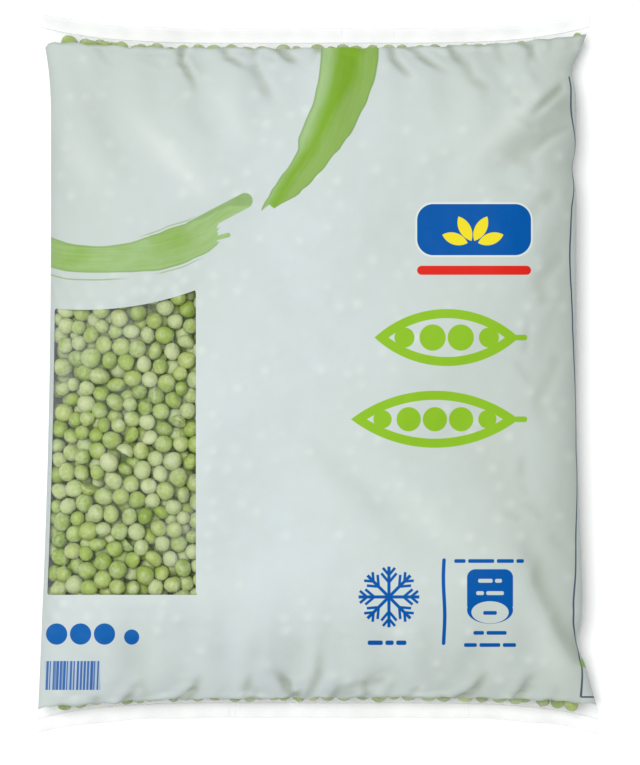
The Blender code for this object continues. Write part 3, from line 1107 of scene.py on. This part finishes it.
@functools.lru_cache(maxsize=None)
def window_pea_places(diameter, unevenness):
    """The peas behind the window, three layers deep and a little past its edges."""
    rng = np.random.default_rng(11)
    look = bpy.context.scene.pea_bag_peas
    low_x, high_x = -0.1395, (WINDOW_RIGHT + 10.0) * MM
    low_y, high_y = (WINDOW_BOTTOM - 11.0) * MM, 0.056
    depth = 0.0215
    count = round((high_x - low_x) * (high_y - low_y) * depth * 0.70 / (math.pi / 6 * diameter ** 3))
    radii = pea_radii(rng, count, look)
    x, y = rng.uniform(low_x, high_x, count), rng.uniform(low_y, high_y, count)
    centres = np.stack([x, y, film_height(x, y, True) - rng.uniform(0.1, 1.0, count) * depth], -1)

    def limits(places):
        floor = np.maximum(film_height(places[:, 0], places[:, 1], True) - depth - 0.004, 0.008)
        x_in = np.clip(places[:, 0], 0.0015 - half_width(np.full(count, -1.0), places[:, 1]), high_x)
        y_in = np.clip(places[:, 1], low_y, high_y)
        return np.stack([x_in, y_in, np.maximum(places[:, 2], floor)], -1)

    depths = 0.0030 * rng.uniform(0.0, 1.0, count) ** 1.6

    def sunk(places):
        return np.where(places[:, 0] < -0.130, -0.0010, depths)

    return settled(centres, radii, np.array([0.0, 0.0, 0.00025]), limits, sunk)


@functools.lru_cache(maxsize=None)
def end_pea_places(end, diameter, unevenness):
    """The peas that crowd into one end of the bag, up to its seal."""
    rng = np.random.default_rng(31 + int(end))
    look = bpy.context.scene.pea_bag_peas
    depth = 0.017
    count = 150
    radii = pea_radii(rng, count, look)
    x = rng.uniform(-0.140, 0.140, count)
    line = seal_line(x / CORNER_HALF_WIDTH, end)
    y = line - end * rng.uniform(0.003, depth, count)
    z = rng.uniform(0.010, 0.026, count)

    def limits(places):
        u = np.clip(places[:, 0] / half_width(places[:, 0], places[:, 1]), -1.0, 1.0)
        line = end * seal_line(u, end)
        from_middle = np.clip(end * places[:, 1], line - depth, line - radii)
        return np.stack([places[:, 0], end * from_middle, places[:, 2]], -1)

    def sunk(places):
        u = np.clip(places[:, 0] / CORNER_HALF_WIDTH, -1.0, 1.0)
        from_seal = end * (seal_line(u, end) - places[:, 1])
        return 0.0008 - 0.0030 * smooth((0.0095 - from_seal) / 0.003)

    drift = np.array([0.0, end * 0.0012, 0.00008])
    centres, radii = settled(np.stack([x, y, z], -1), radii, drift, limits, sunk)
    if end > 0.0:
        # one small pea fills the ear of the top right corner
        small = 0.0032
        x, y = np.array([0.1372]), np.array([0.1763])
        corner = np.stack([x, y, film_height(x, y, False) + small + 0.0005], -1)
        clear = np.linalg.norm(centres - corner, axis=1) > 0.9 * (radii + small)
        centres, radii = np.concatenate([centres[clear], corner]), np.append(radii[clear], small)
    return centres, radii


# ================================================================ settings that a user would change
def length(name, description, default, low, high):
    return FloatProperty(name=name, description=description, default=default, min=low, max=high,
                         unit="LENGTH", precision=5)


def share(name, description, default):
    return FloatProperty(name=name, description=description, default=default, min=0.0, max=1.0,
                         subtype="FACTOR")


def tint(name, description, default):
    return FloatVectorProperty(name=name, description=description, default=default, min=0.0, max=1.0,
                               subtype="COLOR")


class PEABAG_PG_film(bpy.types.PropertyGroup):
    """Sizes of the film and its folds, and the colours of film and inks."""

    cell: length("Cell", "Size of the front film's mesh cells", 0.0014, 0.0008, 0.01)
    back_cell: length("Back cell", "Size of the back film's mesh cells", 0.0022, 0.001, 0.01)
    fold_depth: FloatProperty(name="Fold depth", description="Depth of the folds against the usual ones",
                              default=1.0, min=0.0, max=2.0)
    wave_rise: length("Wave rise", "Height of the slow waves of the film", 0.00035, 0.0, 0.003)
    touch_rise: length("Touch rise", "How far a pea lifts the printed film", 0.00045, 0.0, 0.002)
    window_sag: length("Window sag", "How far the clear film sinks between the peas", 0.0010, 0.0, 0.003)
    film_roughness: share("Film roughness", "Roughness of the printed film", 0.45)
    haze: share("Haze", "How milky the clear film is", 0.01)
    haze_colour: tint("Haze colour", "Colour of the clear film's haze", (0.86, 0.88, 0.88))
    edge_colour: tint("Cut edge", "Colour of the clear film's cut edges", (0.42, 0.43, 0.43))
    film_cool: tint("Cool film", "The white print where it is cool", shown(195, 204, 204))
    film_green: tint("Green film", "The white print where the peas show through", shown(191, 201, 197))
    # Colour of the painted shade towards the right side, the top left corner and the ends
    film_shade: tint("Shaded film", "The white print towards the right side", shown(170, 178, 165))
    # Colour of the painted shade in the folds, in the swells' troughs and along the print's edges
    painted_crease_shade: tint("Creased film", "The white print deep in a crease", shown(140, 148, 130))
    # Pale colour for the plaque's rim and the spots where peas touch, and painted light on the swells' crests
    pale_film_and_painted_light: tint("Light film", "The white print where a pea touches it", shown(221, 227, 217))
    stripe_full: tint("Stripe core", "Full ink in the upper stripe", shown(116, 158, 36))
    stripe_wash: tint("Stripe wash", "Thinned ink beside the core", shown(128, 162, 78))
    stripe_soft: tint("Soft stripe", "Thinned ink of the lower stripe", shown(142, 172, 104))
    stripe_low: tint("Lower core", "Full ink in the lower stripe", shown(130, 165, 74))
    stripe_pale: tint("Stripe edge", "Thinnest ink of the stripes", shown(154, 183, 128))
    stripe_rim: tint("Stripe rim", "Dried rim of the stripes", shown(108, 140, 84))
    lime: tint("Lime ink", "Ink of the pods", shown(132, 178, 40))
    blue: tint("Blue ink", "Ink of the plaque and the small marks", shown(4, 80, 153))
    blue_light: tint("Light blue ink", "The same ink, thinned", shown(60, 128, 196))
    blue_deep: tint("Deep blue ink", "Ink of the thin frame", shown(46, 60, 90))
    yellow: tint("Yellow ink", "Ink of the sprig", shown(222, 206, 38))
    red: tint("Red ink", "Ink of the bar", shown(204, 38, 28))


class PEABAG_PG_peas(bpy.types.PropertyGroup):
    """Size, unevenness and colours of the peas."""

    diameter: length("Diameter", "Mean diameter of a pea", 0.0094, 0.006, 0.012)
    unevenness: share("Unevenness", "How much the peas differ in size", 0.10)
    pea_deep: tint("Deep green", "The darkest peas", shown(102, 134, 28))
    pea_fresh: tint("Fresh green", "Common peas", shown(136, 160, 58))
    pea_soft: tint("Soft green", "Lighter peas", shown(156, 176, 88))
    pea_pale: tint("Pale green", "The palest peas", shown(178, 190, 122))
    pea_hidden: tint("Hidden green", "The peas deep in the heap", shown(80, 104, 16))
    rime: tint("Rime", "Frost on the skins", shown(204, 210, 180))


class PEABAG_PG_stage(bpy.types.PropertyGroup):
    """Floor and studio light."""

    floor: tint("Floor", "Colour of the floor", (0.94, 0.94, 0.94))
    sky: FloatProperty(name="Fill light", description="Strength of the light from all round",
                       default=0.42, min=0.0, max=5.0)
    key: FloatProperty(name="Key light", description="Strength of the wide light at the upper left",
                       default=2.65, min=0.0, max=20.0)
    camera_height: length("Camera height", "How high the camera stands", 3.0, 0.5, 10.0)


# ================================================================ operators
class PEABAG_OT_stage(bpy.types.Operator):
    """Lay the pale floor, hang the soft lights and set up the camera straight above the bag"""

    bl_idname = "peabag.stage"
    bl_label = "Floor, Light and Camera"

    def execute(self, context):
        look = context.scene.pea_bag_stage
        scene = context.scene
        scene.view_settings.view_transform = "Standard"
        add_floor(look)
        add_light("key_light", look.key, (-0.18, 0.11, 0.95))
        add_sky(scene, look.sky)
        add_camera(scene, look.camera_height)
        return {"FINISHED"}


def add_floor(look):
    bpy.ops.mesh.primitive_plane_add(size=8.0, location=(0.0, 0.0, -0.0002))
    floor = bpy.context.object
    floor.name = "floor"
    finish = Finish("pale_floor")
    place = finish.node("TexCoord", {}, {}, 3)
    colour = finish.mix(finish.noise(place, 3.0), opaque(look.floor), opaque(darker(look.floor, 0.985)))
    shader = finish.node("BsdfPrincipled", {}, {"Base Color": colour, "Roughness": 0.7})
    floor.data.materials.append(finish.show(shader))


def add_light(name, power, place):
    """A wide soft light, so far away that it falls on all of the bag alike."""
    lamp = bpy.data.lights.new(name, "SUN")
    lamp.energy = power
    lamp.angle = math.radians(34.0)
    light = bpy.data.objects.new(name, lamp)
    light.location = place
    light.rotation_mode = "QUATERNION"
    light.rotation_quaternion = (-Vector(place)).to_track_quat("-Z", "Y")
    bpy.context.scene.collection.objects.link(light)


def add_sky(scene, strength):
    world = bpy.data.worlds.new("studio")
    scene.world = world
    world.use_nodes = True
    background = world.node_tree.nodes["Background"]
    background.inputs["Color"].default_value = (0.96, 0.98, 1.0, 1.0)
    background.inputs["Strength"].default_value = strength


def add_camera(scene, height):
    """Straight above the bag, so far up that it sees it nearly without perspective."""
    margin_left, margin_right, margin_top, margin_bottom = 0.0191, 0.0217, 0.0058, 0.0158
    width = CAD_HIGH.x - CAD_LOW.x + margin_left + margin_right
    middle = (margin_right - margin_left) / 2.0, (margin_top - margin_bottom) / 2.0
    frame_height = width * 765 / 640
    lens = bpy.data.cameras.new("camera")
    lens.sensor_width = 36.0
    lens.lens = lens.sensor_width * (height - SIDE_RIM) / frame_height
    lens.clip_end = 20.0
    camera = bpy.data.objects.new("camera", lens)
    camera.location = (middle[0], middle[1], height)
    scene.collection.objects.link(camera)
    scene.camera = camera


class PEABAG_OT_front_film(bpy.types.Operator):
    """Form the front film over the filling, with its folds, window and clear end strips"""

    bl_idname = "peabag.front_film"
    bl_label = "Front Film"

    def execute(self, context):
        look = context.scene.pea_bag_film
        peas = context.scene.pea_bag_peas
        rng = np.random.default_rng(5)
        u, t = film_grid(True, look.cell, look.cell)
        points = film_points(u, t, True)
        uv = flat_map(points)
        x, y = points[..., 0] / MM, points[..., 1] / MM
        from_side = (1.0 - np.abs(u)) * half_width(u, points[..., 1]) / MM
        from_end = (1.0 - np.abs(t)) * (seal_line(u, 1.0) - seal_line(u, -1.0)) / 2.0 / MM
        relief = np.zeros(x.shape)
        for route, depth, reach in (*FOLDS, *small_folds(rng, 34)):
            relief += look.fold_depth * fold(x, y, route, depth, reach)
        relief = softened(relief)
        # Painted shade: the crease values darken the folds and a thin line along the print's edges.
        print_edge_shadow = smooth(1.0 + print_edge_gap(points) / 0.0016) * (0.75 + 0.25 * np.sin(x * 0.37 + 1.0))
        crease = clamp01(np.maximum(-relief / 1.2, print_edge_shadow))
        steps = np.linalg.norm(np.diff(points, axis=1), axis=-1)
        side_run = np.pad(np.cumsum(steps[:, ::-1], axis=1)[:, ::-1], ((0, 0), (0, 1))) / MM
        swells = look.fold_depth * sum(swell(x, y, *row) for row in SWELLS)
        relief += swells
        relief += look.wave_rise / MM * slow_waves(rng, x, y, 14, 24.0, 70.0)
        relief += look.wave_rise / MM * 0.25 * slow_waves(rng, x, y, 16, 9.0, 20.0)
        places = hidden_pea_places(rng, peas.diameter / MM * 1.04)
        centres, radii = window_pea_places(peas.diameter, peas.unevenness)
        top = film_height(centres[:, 0], centres[:, 1], True) - centres[:, 2] - radii
        seen = np.column_stack([centres[:, :2] / MM, np.exp(-np.maximum(top, 0.0) / 0.0012)])
        inside = window_gap(np.column_stack([places[:, :2] * MM, np.full(len(places), 0.047)])) > 0.0
        touch = pea_touches(x, y, np.concatenate([places[~inside], seen[top < 0.003]]), 2.9)
        relief += look.touch_rise / MM * touch
        relief -= look.window_sag / MM * smooth(0.5 + window_gap(points) / 0.012)
        relief *= smooth(from_side / 9.0) * smooth(from_end / 2.5)
        points = points + sheet_normals(points) * (relief * MM)[..., None]
        loose = smooth(from_side / 3.0) * smooth(from_end / 1.5)
        for found in (window_pea_places(peas.diameter, peas.unevenness),
                      end_pea_places(1.0, peas.diameter, peas.unevenness),
                      end_pea_places(-1.0, peas.diameter, peas.unevenness)):
            drape(points, loose, *found)
        # The swells' crests get painted light and their troughs painted shade; the crease values carry
        # painted shade.
        looks = {"touch": touch ** 1.5, "crease": crease, "side_run": side_run,
                 "pressed": clamp01(swells), "hanging": clamp01(-swells)}
        mesh = grid_mesh("film_front", points, uv, looks)
        sheet = bmesh.new()
        sheet.from_mesh(mesh)
        bpy.data.meshes.remove(mesh)
        cut_along(sheet, print_edge_gap)
        cut_along(sheet, window_gap)
        middles = face_middles(sheet)
        at_end = print_edge_gap(middles) > 0.0
        at_window = (window_gap(middles) > 0.0) & ~at_end
        fields = np.zeros(len(middles), int)
        print_x, print_y = print_place(middles)
        for number, (_, _, box) in enumerate(FRONT_FIELDS, 1):
            inside = (print_x > box[0]) & (print_x < box[1]) & (print_y > box[2]) & (print_y < box[3])
            fields[inside] = number
        materials = [printed_film("front_plain", look)]
        for name, prints, _ in FRONT_FIELDS:
            materials.append(printed_film("front_" + name, look, prints))
        add_piece("film_front", part_of(sheet, "film_front", ~at_end & ~at_window, fields), materials)
        add_piece("window_film", part_of(sheet, "window_film", at_window),
                  [clear_film("window_film", look, 1.0, 0.2)])
        add_piece("end_film_front", part_of(sheet, "end_film_front", at_end),
                  [clear_film("end_film", look, 0.4)])
        sheet.free()
        return {"FINISHED"}


class PEABAG_OT_back_film(bpy.types.Operator):
    """Form the back film that the bag lies on, with its lap seam and clear end strips"""

    bl_idname = "peabag.back_film"
    bl_label = "Back Film"

    def execute(self, context):
        look = context.scene.pea_bag_film
        rng = np.random.default_rng(6)
        u, t = film_grid(False, look.back_cell, look.cell)
        points = film_points(u, t, False)
        uv = flat_map(points)
        x, y = points[..., 0] / MM, points[..., 1] / MM
        from_side = (1.0 - np.abs(u)) * half_width(u, points[..., 1]) / MM
        from_end = (1.0 - np.abs(t)) * (seal_line(u, 1.0) - seal_line(u, -1.0)) / 2.0 / MM
        relief = 0.2 * np.abs(slow_waves(rng, x, y, 18, 10.0, 40.0))
        relief *= smooth(from_side / 14.0) * smooth(from_end / 25.0)
        points = points + np.array([0.0, 0.0, 1.0]) * (relief * MM)[..., None]
        touch = np.zeros(x.shape)
        mesh = grid_mesh("film_back", points[::-1], uv[::-1], {"touch": touch, "crease": touch})
        sheet = bmesh.new()
        sheet.from_mesh(mesh)
        bpy.data.meshes.remove(mesh)
        cut_along(sheet, print_edge_gap)
        at_end = print_edge_gap(face_middles(sheet)) > 0.0
        add_piece("film_back", part_of(sheet, "film_back", ~at_end), [back_film(look)])
        add_piece("end_film_back", part_of(sheet, "end_film_back", at_end),
                  [clear_film("end_film_back", look, 0.4)])
        sheet.free()
        add_piece("lap_seam", lap_seam_mesh(), [printed_film("lap_seam", look)])
        return {"FINISHED"}


def back_film(look):
    """The back's print: a thin blue frame and rows of bars on the same pale film."""
    return printed_film("back_print", look, back_marks)


def back_marks(finish, place, x, y, colour, look):
    """Two columns of short bars under lime headings, a snowflake and a thin frame that wraps round a side."""
    outer = finish.block(place, 20.0, 2.75, 142.0, 173.6, 3.0)
    inner = finish.block(place, 20.0, 2.75, 141.1, 172.9, 2.4)
    row = abs(finish.maths("WRAP", y, 2.6, -2.6))
    number = finish.maths("FLOOR", y / 5.2 + 0.5)
    side = finish.maths("SIGN", x)
    ragged = finish.noise(finish.join(number * 3.7, side * 5.0), 1.0) * 50.0
    column = finish.below(abs(x), 66.0 + ragged, 0.6) * finish.below(14.0, abs(x))
    block = abs(finish.maths("WRAP", y + 6.0, 31.2, -31.2))
    words = finish.noise(finish.join(x * 0.30, number * 9.0), 1.0, 1.0)
    lines = finish.below(row, 0.75) * column * finish.below(block, 21.0, 0.4)
    lines = lines * finish.below(0.36, words, 0.05) * finish.between(y, -112.0, 132.0)
    heads = finish.below(abs(block - 26.5), 1.9) * finish.between(abs(x), 14.0, 56.0)
    heads = heads * finish.between(y, -112.0, 132.0)
    flake = snowflake(finish, place, (-70.0, -140.0), 14.0)
    lines = lines | flake | finish.block(place, 50.0, -140.0, 34.0, 12.0, 4.0)
    colour = finish.mix(heads, colour, opaque(look.lime))
    return finish.mix((outer * (1.0 - inner)) | lines, colour, opaque(look.blue_deep))


def lap_seam_mesh():
    """The flat seam down the middle of the back, folded over to one side."""
    half_length, width, step = 0.128, 0.011, 0.004
    along = np.linspace(-half_length, half_length, round(2 * half_length / step) + 1)
    across = np.linspace(0.0, 1.0, 7)
    s, v = np.meshgrid(across, along)
    x = (s - 0.5) * width + 0.0006 * np.sin(v * 60.0)
    z = 0.00012 + 0.00016 * (1.0 - s) + 0.00004 * np.sin(v * 300.0 + s * 3.0)
    upper = np.stack([x, v, z + 0.00005], -1)
    lower = np.stack([x, v, z - 0.00005], -1)
    return shell_mesh("lap_seam", upper, lower)


def shell_mesh(name, upper, lower, attributes=None):
    """A closed thin solid between two grids of points."""
    rows, columns = upper.shape[:2]
    index = np.arange(rows * columns).reshape(rows, columns)
    top = np.stack([index[:-1, :-1], index[:-1, 1:], index[1:, 1:], index[1:, :-1]], -1).reshape(-1, 4)
    under = top[:, ::-1] + index.size
    rim = np.concatenate([index[0, :], index[1:, -1], index[-1, -2::-1], index[-2:0:-1, 0]])
    after = np.roll(rim, -1)
    wall = np.stack([after, rim, rim + index.size, after + index.size], -1)
    points = np.concatenate([upper.reshape(-1, 3), lower.reshape(-1, 3)])
    return make_mesh(name, points, np.concatenate([top, under, wall]), attributes=attributes)


class PEABAG_OT_seal_bands(bpy.types.Operator):
    """Press the two ribbed seal bands at the ends of the bag"""

    bl_idname = "peabag.seal_bands"
    bl_label = "Seal Bands"

    def execute(self, context):
        look = context.scene.pea_bag_film
        clear = clear_film("seal_film", look, 0.35)
        for end, name in ((1.0, "seal_band_top"), (-1.0, "seal_band_bottom")):
            add_piece(name, seal_band_mesh(name, end), [clear])
        return {"FINISHED"}


def seal_band_mesh(name, end):
    """A flat band from a seal line to the cut edge, with fine ribs along it and a slight flutter."""
    across = np.linspace(-1.0, 1.0, 211)
    out = np.linspace(0.0, 1.0, 22)
    u, band = np.meshgrid(across, out)
    y = seal_line(u, end) + end * SEAL_BAND * band
    x = u * half_width(u, y)
    y += end * 0.0005 * band * np.sin(21.0 * u + end) * np.abs(u)
    flutter = 0.0011 * band ** 1.5 * np.sin(31.0 * u + 2.0 * end) * np.abs(u) ** 1.5
    flutter += 0.0005 * band * np.sin(67.0 * u + 1.0)
    ribs = 0.00002 * np.sin(band * 2.0 * math.pi * 6.0) * smooth(band * 6.0) * smooth((1.0 - band) * 6.0)
    z = band_height(u) - BAND_DROOP * band ** 2 + flutter + ribs
    upper = np.stack([x, y, z + FILM_HALF], -1)
    lower = np.stack([x, y, z - FILM_HALF], -1)
    edge = np.where(band < 0.04, 0.9, np.where(band > 0.96, 0.66, 0.47 if end > 0.0 else 0.41))
    if end < 0.0:
        upper, lower = upper[::-1], lower[::-1]
        edge = edge[::-1]
    return shell_mesh(name, upper, lower, {"edge": np.concatenate([edge, edge]).ravel()})


class PEABAG_OT_window_peas(bpy.types.Operator):
    """Pack the peas that show behind the window, those near the film with finer meshes"""

    bl_idname = "peabag.window_peas"
    bl_label = "Window Peas"

    def execute(self, context):
        look = context.scene.pea_bag_peas
        rng = np.random.default_rng(21)
        centres, radii = window_pea_places(look.diameter, look.unevenness)
        deep = film_height(centres[:, 0], centres[:, 1], True) - centres[:, 2] - radii
        near = deep < 0.0055
        skin = pea_skin("pea_skin", look, 0.5)
        add_piece("peas_window_top", pea_mesh("peas_window_top", rng, centres[near], radii[near], 7),
                  [skin])
        add_piece("peas_window_deep", pea_mesh("peas_window_deep", rng, centres[~near], radii[~near], 5),
                  [skin])
        return {"FINISHED"}


class PEABAG_OT_end_peas(bpy.types.Operator):
    """Crowd peas into both ends of the bag, up to the seals"""

    bl_idname = "peabag.end_peas"
    bl_label = "End Peas"

    def execute(self, context):
        look = context.scene.pea_bag_peas
        rng = np.random.default_rng(37)
        skin = pea_skin("pea_skin_ends", look, 0.2)
        for end, name in ((1.0, "peas_top_end"), (-1.0, "peas_bottom_end")):
            centres, radii = end_pea_places(end, look.diameter, look.unevenness)
            add_piece(name, pea_mesh(name, rng, centres, radii, 6, 0.3), [skin])
        return {"FINISHED"}


class PEABAG_OT_pea_core(bpy.types.Operator):
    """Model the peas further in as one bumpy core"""

    bl_idname = "peabag.pea_core"
    bl_label = "Pea Core"

    def execute(self, context):
        look = context.scene.pea_bag_peas
        add_piece("pea_core", core_mesh(look), [pea_heap("pea_heap", look)])
        return {"FINISHED"}


def core_mesh(look):
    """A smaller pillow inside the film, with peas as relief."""
    rng = np.random.default_rng(41)
    middle = np.array([0.0, 0.0, 0.021])
    shrink = np.array([0.915, 0.935, 0.42])
    sheets = []
    for front in (True, False):
        quarter = math.pi / 2.0
        across = np.sin(np.linspace(-quarter, quarter, 150))
        along = np.sin(np.linspace(-quarter, quarter, 190))
        u, t = np.meshgrid(across, along)
        points = middle + (film_points(u, t, front) - middle) * shrink
        x, y = points[..., 0] / MM, points[..., 1] / MM
        places = hidden_pea_places(rng, look.diameter / MM * 0.98)
        places[:, 2] = 0.6 + 0.4 * places[:, 2]
        lift = pea_touches(x, y, places, 3.4) * (1.0 - np.abs(u) ** 6) * (1.0 - np.abs(t) ** 8)
        points[..., 2] += (1.0 if front else -1.0) * 0.0026 * lift
        sheets.append(points)
    return shell_mesh("pea_core", sheets[0], sheets[1])


PIECE_OPERATORS = (
    PEABAG_OT_stage,
    PEABAG_OT_window_peas,
    PEABAG_OT_end_peas,
    PEABAG_OT_pea_core,
    PEABAG_OT_back_film,
    PEABAG_OT_front_film,
    PEABAG_OT_seal_bands,
)
GROUPS = (
    ("pea_bag_film", PEABAG_PG_film),
    ("pea_bag_peas", PEABAG_PG_peas),
    ("pea_bag_stage", PEABAG_PG_stage),
)


class PEABAG_PT_panel(bpy.types.Panel):
    """Sizes, colours and pieces of the pea bag"""

    bl_idname = "PEABAG_PT_panel"
    bl_label = "Pea Bag"
    bl_space_type = "VIEW_3D"
    bl_region_type = "UI"
    bl_category = "Pea Bag"

    def draw(self, context):
        for name, group in GROUPS:
            box = self.layout.box()
            for key in group.__annotations__:
                box.prop(getattr(context.scene, name), key)
        for operator in PIECE_OPERATORS:
            self.layout.operator(operator.bl_idname)


def register():
    for name, group in GROUPS:
        bpy.utils.register_class(group)
        setattr(bpy.types.Scene, name, PointerProperty(type=group))
    for operator in PIECE_OPERATORS:
        bpy.utils.register_class(operator)
    bpy.utils.register_class(PEABAG_PT_panel)


def unregister():
    bpy.utils.unregister_class(PEABAG_PT_panel)
    for operator in reversed(PIECE_OPERATORS):
        bpy.utils.unregister_class(operator)
    for name, group in reversed(GROUPS):
        delattr(bpy.types.Scene, name)
        bpy.utils.unregister_class(group)


def main():
    register()
    for operator in PIECE_OPERATORS:
        getattr(bpy.ops.peabag, operator.bl_idname.split(".")[1])()


if __name__ == "__main__":
    main()
